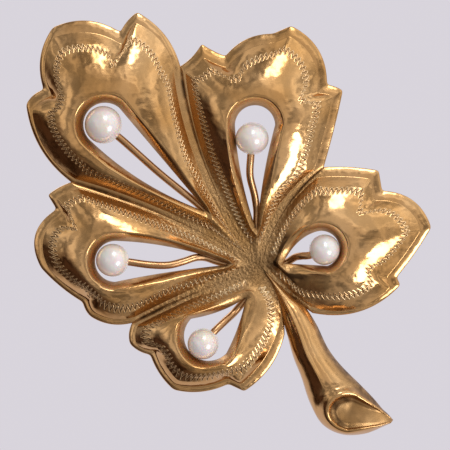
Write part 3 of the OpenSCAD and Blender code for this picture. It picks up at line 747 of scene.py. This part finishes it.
# %% Build the wires
PEARL_Z, WIRE_SEAT, WIRE_R = 1.8, 0.2, 0.45
SIDES, PER_BEND, IN_PEARL, LEVEL_END = 28, 14, 0.15, 2.6
PEARL_AT = {"right": (7.45, 2.2), "upper_right": (-1.2, 15.5), "upper_left": (-19, 17.15),
            "left": (-17.9, 0.95), "lower_left": (-7.05, -9.05)}
RUNS = {
    "right": [(5.75, 1.55), (4.75, 1.45), (4, 1.3), (3.2, 0.8), (2.5, 0.45), (1.7, 0.3)],
    "upper_right": [(-1.35, 13.5), (-1.45, 11.1), (-0.9, 8.75), (-0.62, 6.8), (-0.68, 5.2),
                    (-0.7, 3.9)],
    "upper_left": [(-16.95, 15.5), (-15.7, 14.4), (-12.45, 11.5), (-9.55, 9.15), (-8.1, 8), (-7, 7),
                   (-6.1, 6.1)],
    "left": [(-16.05, 0.75), (-13.5, 0.4), (-11.3, 0.35), (-9.55, 0.75), (-8, 1.25), (-6.8, 1.25),
             (-5.6, 0.85), (-4.4, 0.5), (-3.2, 0.4)],
    "lower_left": [(-5.75, -7.6), (-4.6, -6.5), (-3.4, -5.4), (-2.4, -4.25), (-1.6, -3.3)],
}


def wire(name):
    run = np.array(RUNS[name])
    path = np.vstack((mix(np.array(PEARL_AT[name]), run[0], IN_PEARL), run))
    i = np.concatenate(([0], np.arange(len(run))))
    z = mix(PEARL_Z, WIRE_SEAT, ease(np.clip(i / (len(run) - LEVEL_END), 0, 1)))
    line = smooth_rows(np.column_stack((path, z)), PER_BEND)
    ahead = np.gradient(line, axis=0)
    ahead /= np.linalg.norm(ahead, axis=1)[:, None]
    side = np.cross(ahead, (0, 0, 1))
    side /= np.linalg.norm(side, axis=1)[:, None]
    up = np.cross(side, ahead)
    ang = 2 * np.pi * np.arange(SIDES) / SIDES
    ring = side[:, None] * np.cos(ang)[None, :, None] + up[:, None] * np.sin(ang)[None, :, None]
    tube = (line[:, None] + WIRE_R * ring).reshape(-1, 3)
    return new_mesh("wire_rod_" + name, place(np.vstack((tube, line[:1], line[-1:]))),
                    tube_faces(len(line), SIDES), "leaf", ["wire_" + name])


wires = {name: wire(name) for name in PEARLS}
print("wires:", sorted(wires))

# %% [markdown]
# ## A helper for nodes
# Materials and the world are trees of nodes. Placed one by one they take many lines, so one helper
# makes a node, sets its properties, and fills its inputs with plain values or with the output of
# another node.

# %% Node helper
def add_node(tree, kind, inputs=None, **settings):
    node = tree.nodes.new(kind)
    for key, value in settings.items():
        setattr(node, key, value)
    for key, value in (inputs or {}).items():
        if isinstance(value, bpy.types.NodeSocket):
            tree.links.new(value, node.inputs[key])
        else:
            node.inputs[key].default_value = value
    return node


def mix_colours(tree, factor, a, b):
    inputs = {"Factor": factor, 6: a, 7: b}
    return add_node(tree, "ShaderNodeMix", inputs, data_type="RGBA").outputs[2]


def mix_values(tree, factor, a, b):
    return add_node(tree, "ShaderNodeMix", {"Factor": factor, 2: a, 3: b}).outputs[0]


def noise(tree, at, **inputs):
    return add_node(tree, "ShaderNodeTexNoise", {"Vector": at, **inputs}).outputs["Fac"]


def remap(tree, value, lo, hi, to_lo=0, to_hi=1, kind="LINEAR"):
    inputs = {"Value": value, "From Min": lo, "From Max": hi, "To Min": to_lo, "To Max": to_hi}
    node = add_node(tree, "ShaderNodeMapRange", inputs, interpolation_type=kind)
    return node.outputs["Result"]


def calc(tree, operation, *values):
    inputs = dict(enumerate(values))
    return add_node(tree, "ShaderNodeMath", inputs, operation=operation).outputs[0]


def scaled(tree, colour, factor):
    inputs = {0: colour, "Scale": factor}
    return add_node(tree, "ShaderNodeVectorMath", inputs, operation="SCALE").outputs[0]


# %% [markdown]
# ## Old gold
# Rolled gold that was worn for years has slow warm and pale patches, fine handling scratches and
# shallow dents, brown dirt in its valleys and a dull punched grain on the land round the hub. The
# colour also carries painted shade: darker in the valleys, round the hub and on the stippled land.
# All the golds of the brooch share this, so it is one node group with named inputs. It puts out a
# colour, a roughness and a height; the shader itself stays in each material.

# %% Parts of the gold pattern
PATCH_SCALE, WEAR_SCALE, DENT_SCALE, PUNCH_SCALE = 170, 900, 420, 2800
SCRATCH_SCALE, SCRATCH_TURN = (700, 2600, 2600), (0, 0.6, 0)
DENT_HEIGHT, PUNCH_HEIGHT = 12, 36
# Brown of dirt with painted shade, and the painted shade on the stippled land.
DIRT_AND_SHADE, DIRT_ROUGH, STIPPLE_ROUGH, STIPPLE_PAINTED_SHADE = (0.11, 0.06, 0.027, 1), 0.45, 0.36, 0.58


def gold_colour(tree, given, at, wear):
    patch = remap(tree, noise(tree, at, Scale=PATCH_SCALE), 0.35, 0.68)
    tone = mix_colours(tree, patch, given["Warm"], given["Pale"])
    # Dirt with painted shade, broken up by the wear noise.
    deep = calc(tree, "POWER", given["GrimeAndShade"], 2)
    broken = calc(tree, "MULTIPLY", deep, remap(tree, wear, 0.15, 0.6))
    soiled_and_shaded = mix_colours(tree, broken, tone, DIRT_AND_SHADE)
    # Painted shade: the colour darkens on the stippled land and the valley flanks near the hub.
    return scaled(tree, soiled_and_shaded, remap(tree, given["Matte"], 0, 1, 1, STIPPLE_PAINTED_SHADE))


def gold_roughness(tree, given, wear):
    polished = remap(tree, wear, 0.3, 0.7, given["Smooth"], given["Worn"])
    dull = mix_values(tree, given["GrimeAndShade"], polished, DIRT_ROUGH)
    return mix_values(tree, given["Matte"], dull, STIPPLE_ROUGH)


def gold_height(tree, given, at):
    turned = {"Vector": at, "Rotation": SCRATCH_TURN, "Scale": SCRATCH_SCALE}
    stretch = add_node(tree, "ShaderNodeMapping", turned).outputs["Vector"]
    dents = noise(tree, at, Scale=DENT_SCALE, Roughness=0.62)
    height = calc(tree, "MULTIPLY_ADD", dents, DENT_HEIGHT, noise(tree, stretch, Scale=1))
    grain = calc(tree, "MULTIPLY", noise(tree, at, Scale=PUNCH_SCALE, Detail=4), given["Matte"])
    return calc(tree, "MULTIPLY_ADD", grain, PUNCH_HEIGHT, height)


# %% [markdown]
# ## The shared group
# The three parts go into one group, so every gold below can place it with its own warm and pale
# colour and its own gloss.

# %% Worn gold as a group
GOLD_INPUTS = (("Warm", "NodeSocketColor", (0.90, 0.52, 0.17, 1)),
               ("Pale", "NodeSocketColor", (0.98, 0.68, 0.32, 1)),
               ("Smooth", "NodeSocketFloat", 0.1), ("Worn", "NodeSocketFloat", 0.22),
               ("GrimeAndShade", "NodeSocketFloat", 0), ("Matte", "NodeSocketFloat", 0))
GOLD_OUTPUTS = (("Color", "NodeSocketColor"), ("Roughness", "NodeSocketFloat"),
                ("Height", "NodeSocketFloat"))
worn_gold = bpy.data.node_groups.new("worn_gold", "ShaderNodeTree")
for label, kind, value in GOLD_INPUTS:
    socket = worn_gold.interface.new_socket(label, in_out="INPUT", socket_type=kind)
    socket.default_value = value
for label, kind in GOLD_OUTPUTS:
    worn_gold.interface.new_socket(label, in_out="OUTPUT", socket_type=kind)
given = add_node(worn_gold, "NodeGroupInput").outputs
on_piece = add_node(worn_gold, "ShaderNodeTexCoord").outputs["Object"]
wear = noise(worn_gold, on_piece, Scale=WEAR_SCALE, Detail=4)
add_node(worn_gold, "NodeGroupOutput", {
    "Color": gold_colour(worn_gold, given, on_piece, wear),
    "Roughness": gold_roughness(worn_gold, given, wear),
    "Height": gold_height(worn_gold, given, on_piece),
})
print("worn gold:", len(worn_gold.nodes), "nodes")

# %% [markdown]
# ## The golds
# The front of the leaf is polished, its back dull; the wires are redder, the fittings and the pin
# were made apart and are paler. One function makes them all. Only the engraved strips have more to
# say: the burr beside a cut gets a painted glint, and the bottom of the cut painted shade and dirt.

# %% Gold materials
FRONT_WARM, FRONT_PALE = (0.62, 0.335, 0.12), (0.7, 0.425, 0.195)
BURR_GLINT_TINT, CUT_SHADE_TINT, BUMP_DISTANCE = (1, 0.83, 0.55, 1), (0.3, 0.175, 0.075, 1), 0.00002


def point_value(tree, name):
    return add_node(tree, "ShaderNodeAttribute", attribute_name=name).outputs["Fac"]


def new_material(name):
    mat = bpy.data.materials.new(name)
    mat.use_nodes = True
    return mat, mat.node_tree, mat.node_tree.nodes["Principled BSDF"].inputs


def gold(name, warm, pale, smooth, worn, scratch, cut=False):
    mat, tree, shader = new_material(name)
    shader["Metallic"].default_value = 1
    values = {"Warm": (*warm, 1), "Pale": (*pale, 1), "Smooth": smooth, "Worn": worn,
              "GrimeAndShade": point_value(tree, "grime_and_shade"), "Matte": point_value(tree, "matte")}
    pattern = add_node(tree, "ShaderNodeGroup", values, node_tree=worn_gold)
    colour = pattern.outputs["Color"]
    if cut:
        # Painted glint on the burr, painted shade with dirt at the bottom of the cut.
        colour = mix_colours(tree, point_value(tree, "burr"), colour, BURR_GLINT_TINT)
        colour = mix_colours(tree, point_value(tree, "cut"), colour, CUT_SHADE_TINT)
    bump = add_node(tree, "ShaderNodeBump", {"Strength": scratch, "Distance": BUMP_DISTANCE,
                                             "Height": pattern.outputs["Height"]})
    tree.links.new(colour, shader["Base Color"])
    tree.links.new(pattern.outputs["Roughness"], shader["Roughness"])
    tree.links.new(bump.outputs["Normal"], shader["Normal"])
    return mat


leaf_gold = gold("leaf_gold", FRONT_WARM, FRONT_PALE, 0.07, 0.2, 0.4)
cut_gold = gold("engraved_gold", FRONT_WARM, FRONT_PALE, 0.09, 0.22, 0.3, cut=True)
back_gold = gold("back_gold", (0.44, 0.27, 0.11), (0.56, 0.37, 0.17), 0.3, 0.46, 0.5)
wire_gold = gold("wire_gold", (0.52, 0.28, 0.125), (0.62, 0.36, 0.18), 0.2, 0.34, 0.3)
fitting_gold = gold("fitting_gold", (0.68, 0.41, 0.15), (0.77, 0.51, 0.24), 0.22, 0.38, 0.3)
pin_metal = gold("pin_metal", (0.72, 0.47, 0.2), (0.80, 0.57, 0.3), 0.12, 0.2, 0.3)
print("gold materials:", [m.name for m in bpy.data.materials if m.name.endswith("gold")])

# %% [markdown]
# ## Pearl
# Nacre is a pale body with a soft inner glow and a clear skin. A plain white gloss would look like
# china. So colour drifts slowly between cream, rose and a cool grey, a coat lies over a rougher
# body, light goes a little way in, and fine growth ripples break the gloss.

# %% Pearl material
NACRE = {"Roughness": 0.26, "IOR": 1.9, "Coat Weight": 1, "Coat IOR": 1.95, "Coat Roughness": 0.23,
         "Coat Tint": (1, 0.95, 0.88, 1), "Subsurface Weight": 0.25, "Subsurface Scale": 0.0006}
CREAM, ROSE, GREY = (0.93, 0.89, 0.82, 1), (0.95, 0.86, 0.92, 1), (0.88, 0.91, 0.94, 1)
DRIFT_SCALE, RIPPLE_SCALE = 420, 1400


def colour_ramp(tree, fac, stops):
    """A ramp through (position, colour) stops, the first and last being its ends."""
    ramp = add_node(tree, "ShaderNodeValToRGB", {"Fac": fac})
    ends = ramp.color_ramp.elements
    for end, (position, colour) in zip(ends, (stops[0], stops[-1])):
        end.position, end.color = position, colour
    for position, colour in stops[1:-1]:
        ends.new(position).color = colour
    return ramp.outputs["Color"]


pearl_skin, tree, shader = new_material("nacre")
for label, value in NACRE.items():
    shader[label].default_value = value
on_pearl = add_node(tree, "ShaderNodeTexCoord").outputs["Object"]
drift = noise(tree, on_pearl, Scale=DRIFT_SCALE)
ripple = noise(tree, on_pearl, Scale=RIPPLE_SCALE)
bump = add_node(tree, "ShaderNodeBump", {"Strength": 0.06, "Distance": 0.00005, "Height": ripple})
tree.links.new(colour_ramp(tree, drift, ((0.36, CREAM), (0.5, ROSE), (0.64, GREY))),
               shader["Base Color"])
tree.links.new(bump.outputs["Normal"], shader["Normal"])
print("pearl material:", pearl_skin.name)

# %% [markdown]
# ## Dressing the pieces
# The front and the back of the sheets get different golds by face. The fittings behind stay the
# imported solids, which are already right; a fine bevel gives their edges a line of light.

# %% Give every piece its material
BEVEL = {"width": 0.00006, "segments": 2, "limit_method": "ANGLE", "angle_limit": 0.6}
FITTINGS = {"pin_bar": fitting_gold, "hinge_joint": fitting_gold, "hinge_rivet": fitting_gold,
            "catch_housing": fitting_gold, "catch_roller": fitting_gold, "pin_stem": pin_metal}


def dress(obj, *mats):
    side = np.zeros(len(obj.data.polygons), np.int32)
    obj.data.polygons.foreach_get("material_index", side)
    obj.data.materials.clear()
    for mat in mats:
        obj.data.materials.append(mat)
    obj.data.polygons.foreach_set("material_index", np.minimum(side, len(mats) - 1))


for obj in (leaf, stem):
    dress(obj, leaf_gold, back_gold)
for group, mat in ((strips, cut_gold), (wires, wire_gold), (pearls, pearl_skin)):
    for obj in group.values():
        dress(obj, mat)
for name, mat in FITTINGS.items():
    dress(nodes[name], mat)
    soft = nodes[name].modifiers.new("soft_edges", "BEVEL")
    for key, value in BEVEL.items():
        setattr(soft, key, value)
print("dressed:", len(bpy.data.materials), "materials")

# %% [markdown]
# ## Studio: the room
# Polished gold shows its surroundings, so the world is a soft room: dark low and to the left,
# bright high and to the right, with soft glows where the real brooch shows broad light and dark
# pools where its rims are dark. A slow noise makes it uneven, as real rooms are.

# %% The room that the gold reflects
BRIGHT_SIDE, ROOM_SLOPE = (0.85, 0, 0.35), 0.46
ROOM = ((0, (0.24, 0.225, 0.22, 1)), (0.35, (0.32, 0.305, 0.3, 1)), (0.5, (0.38, 0.365, 0.36, 1)),
        (0.68, (0.49, 0.47, 0.46, 1)), (0.85, (0.67, 0.65, 0.63, 1)), (1, (0.80, 0.78, 0.76, 1)))
GLOWS = (((-0.7, -0.68, 0.2), 0.3), ((0.7, -0.17, 0.7), 0.2), ((-0.7, -0.17, 0.7), 0.14))
GLOW_FROM, GLOW_FULL = 0.74, 0.985
POOLS = (((-0.87, -0.24, -0.42), 0.7, 0.94, 1), ((-0.55, 0, -0.83), 0.74, 0.95, 0.9))
POOL_DARK = (0.05, 0.03, 0.024, 1)
THINGS_SCALE, THINGS_DARK, THINGS_LIGHT = 3.8, 0.55, 1.7
world = bpy.data.worlds.new("studio")
scene.world = world
world.use_nodes = True
sky = world.node_tree
sky.nodes.clear()
looking = add_node(sky, "ShaderNodeTexCoord").outputs["Generated"]
axes = add_node(sky, "ShaderNodeSeparateXYZ", {"Vector": looking}).outputs


def smooth(value, lo, hi, to_lo, to_hi):
    return remap(sky, value, lo, hi, to_lo, to_hi, "SMOOTHSTEP")


def dot(way):
    """How far a direction points along way, from -1 to 1."""
    x, y, z = (calc(sky, "MULTIPLY", axes[k], v) for k, v in zip("XYZ", Vector(way).normalized()))
    return calc(sky, "ADD", calc(sky, "ADD", x, y), z)


bright = calc(sky, "ADD", calc(sky, "MULTIPLY", dot(BRIGHT_SIDE), ROOM_SLOPE), 0.5)
room = colour_ramp(sky, bright, ROOM)
for way, amount in GLOWS:
    glow = smooth(dot(way), GLOW_FROM, GLOW_FULL, 0, amount)
    room = add_node(sky, "ShaderNodeVectorMath", {0: room, 1: glow}).outputs[0]
for way, start, full, amount in POOLS:
    room = mix_colours(sky, smooth(dot(way), start, full, 0, amount), room, POOL_DARK)
things = noise(sky, looking, Scale=THINGS_SCALE, Detail=3)
room = scaled(sky, room, smooth(things, 0.38, 0.62, THINGS_DARK, THINGS_LIGHT))
print("room nodes:", len(sky.nodes))

# %% [markdown]
# ## Studio: the backdrop
# The photograph has a plain pale background. More light on the object would wash it out, so the
# camera sees a pale colour instead of the room, through Light Path. Rays through clear things see
# it too, and mirror rays do in directions that lie behind the brooch, where the backdrop stands.

# %% The pale backdrop
PALE, BEHIND = (0.69, 0.66, 0.715, 1), 0.4
ray = add_node(sky, "ShaderNodeLightPath").outputs
plain = calc(sky, "ADD", ray["Is Camera Ray"], ray["Is Transmission Ray"])
glossy = calc(sky, "MULTIPLY", ray["Is Glossy Ray"], smooth(axes["Y"], 0, BEHIND, 0, 1))
shows = calc(sky, "MINIMUM", calc(sky, "ADD", plain, glossy), 1)
light = add_node(sky, "ShaderNodeBackground",
                 {"Color": mix_colours(sky, shows, room, PALE), "Strength": 1})
add_node(sky, "ShaderNodeOutputWorld", {"Surface": light.outputs["Background"]})
print("world nodes:", len(sky.nodes))

# %% [markdown]
# ## Studio: the lamps
# Every pearl in the photograph carries two highlights, which say where two lamps stood: one above
# and a small one low on the right. A wide soft lamp fills in, and one behind lights the back. They
# are ellipses, so their mirror images on the domes have round ends.

# %% Lamps
COOL = (0.93, 0.96, 1)
middle_of = Vector((0.00088, back_y, -0.0053))


def lamp(name, way, far, wide, tall, watts):
    data = bpy.data.lights.new(name, "AREA")
    data.shape, data.size, data.size_y = "ELLIPSE", wide, tall
    data.energy, data.color = watts, COOL
    obj = bpy.data.objects.new(name, data)
    obj.location = middle_of + Vector(way).normalized() * far
    obj.rotation_euler = (middle_of - obj.location).to_track_quat("-Z", "Y").to_euler()
    scene.collection.objects.link(obj)


lamp("key_lamp", (0.12, -0.7, 0.7), 0.49, 0.13, 0.22, 0.36)
lamp("key_wide", (0.34, -0.72, 0.58), 0.52, 0.46, 0.46, 0.26)
lamp("side_lamp", (0.6, -0.7, -0.38), 0.49, 0.18, 0.22, 0.66)
lamp("back_lamp", (-0.4, 0.62, 0.68), 0.5, 0.2, 0.2, 0.25)

# %% [markdown]
# ## Studio: the floor
# A small disc of pale paper lies below the brooch. It is staging: out of the main picture, it keeps
# the object's shadow in other views. It is hidden from mirror rays, so the lower rims show the dark
# of the room, as they do in the photograph.

# %% Floor
FLOOR_DROP, FLOOR_R, FLOOR_SIDES = 0.022, 0.06, 96
PAPER_DARK, PAPER_PALE = (0.66, 0.63, 0.68, 1), (0.72, 0.69, 0.74, 1)
ang = 2 * np.pi * np.arange(FLOOR_SIDES) / FLOOR_SIDES
floor_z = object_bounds()[0].z - FLOOR_DROP
disc = FLOOR_R * np.column_stack((np.cos(ang), np.sin(ang), np.zeros(FLOOR_SIDES)))
disc[:, 2] = floor_z
floor_mesh = bpy.data.meshes.new("floor")
floor_mesh.from_pydata(disc.tolist(), [], [list(range(FLOOR_SIDES))])
floor = bpy.data.objects.new("floor", floor_mesh)
scene.collection.objects.link(floor)
floor.visible_glossy = False
paper, tree, shader = new_material("paper")
grain = add_node(tree, "ShaderNodeTexNoise", {"Scale": 300}).outputs["Fac"]
tree.links.new(colour_ramp(tree, grain, ((0, PAPER_DARK), (1, PAPER_PALE))), shader["Base Color"])
shader["Roughness"].default_value = 0.8
dress(floor, paper)
print("floor at z =", round(floor_z, 4))

# %% [markdown]
# ## Camera
# The brooch is seen square on from the front, from far enough away that depth hardly shows. The
# lens follows from the width that the picture has to hold.

# %% Camera and view
SEEN_WIDE, FAR, SENSOR = 0.054, 0.6, 36
cam_data = bpy.data.cameras.new("camera")
cam_data.sensor_width = SENSOR
cam_data.lens = SENSOR * FAR / SEEN_WIDE
camera = bpy.data.objects.new("camera", cam_data)
camera.location = middle_of - Vector((0, FAR, 0))
camera.rotation_euler = (middle_of - camera.location).to_track_quat("-Z", "Y").to_euler()
scene.collection.objects.link(camera)
scene.camera = camera
scene.view_settings.view_transform = "Standard"
print("lens:", round(cam_data.lens, 1), "mm")
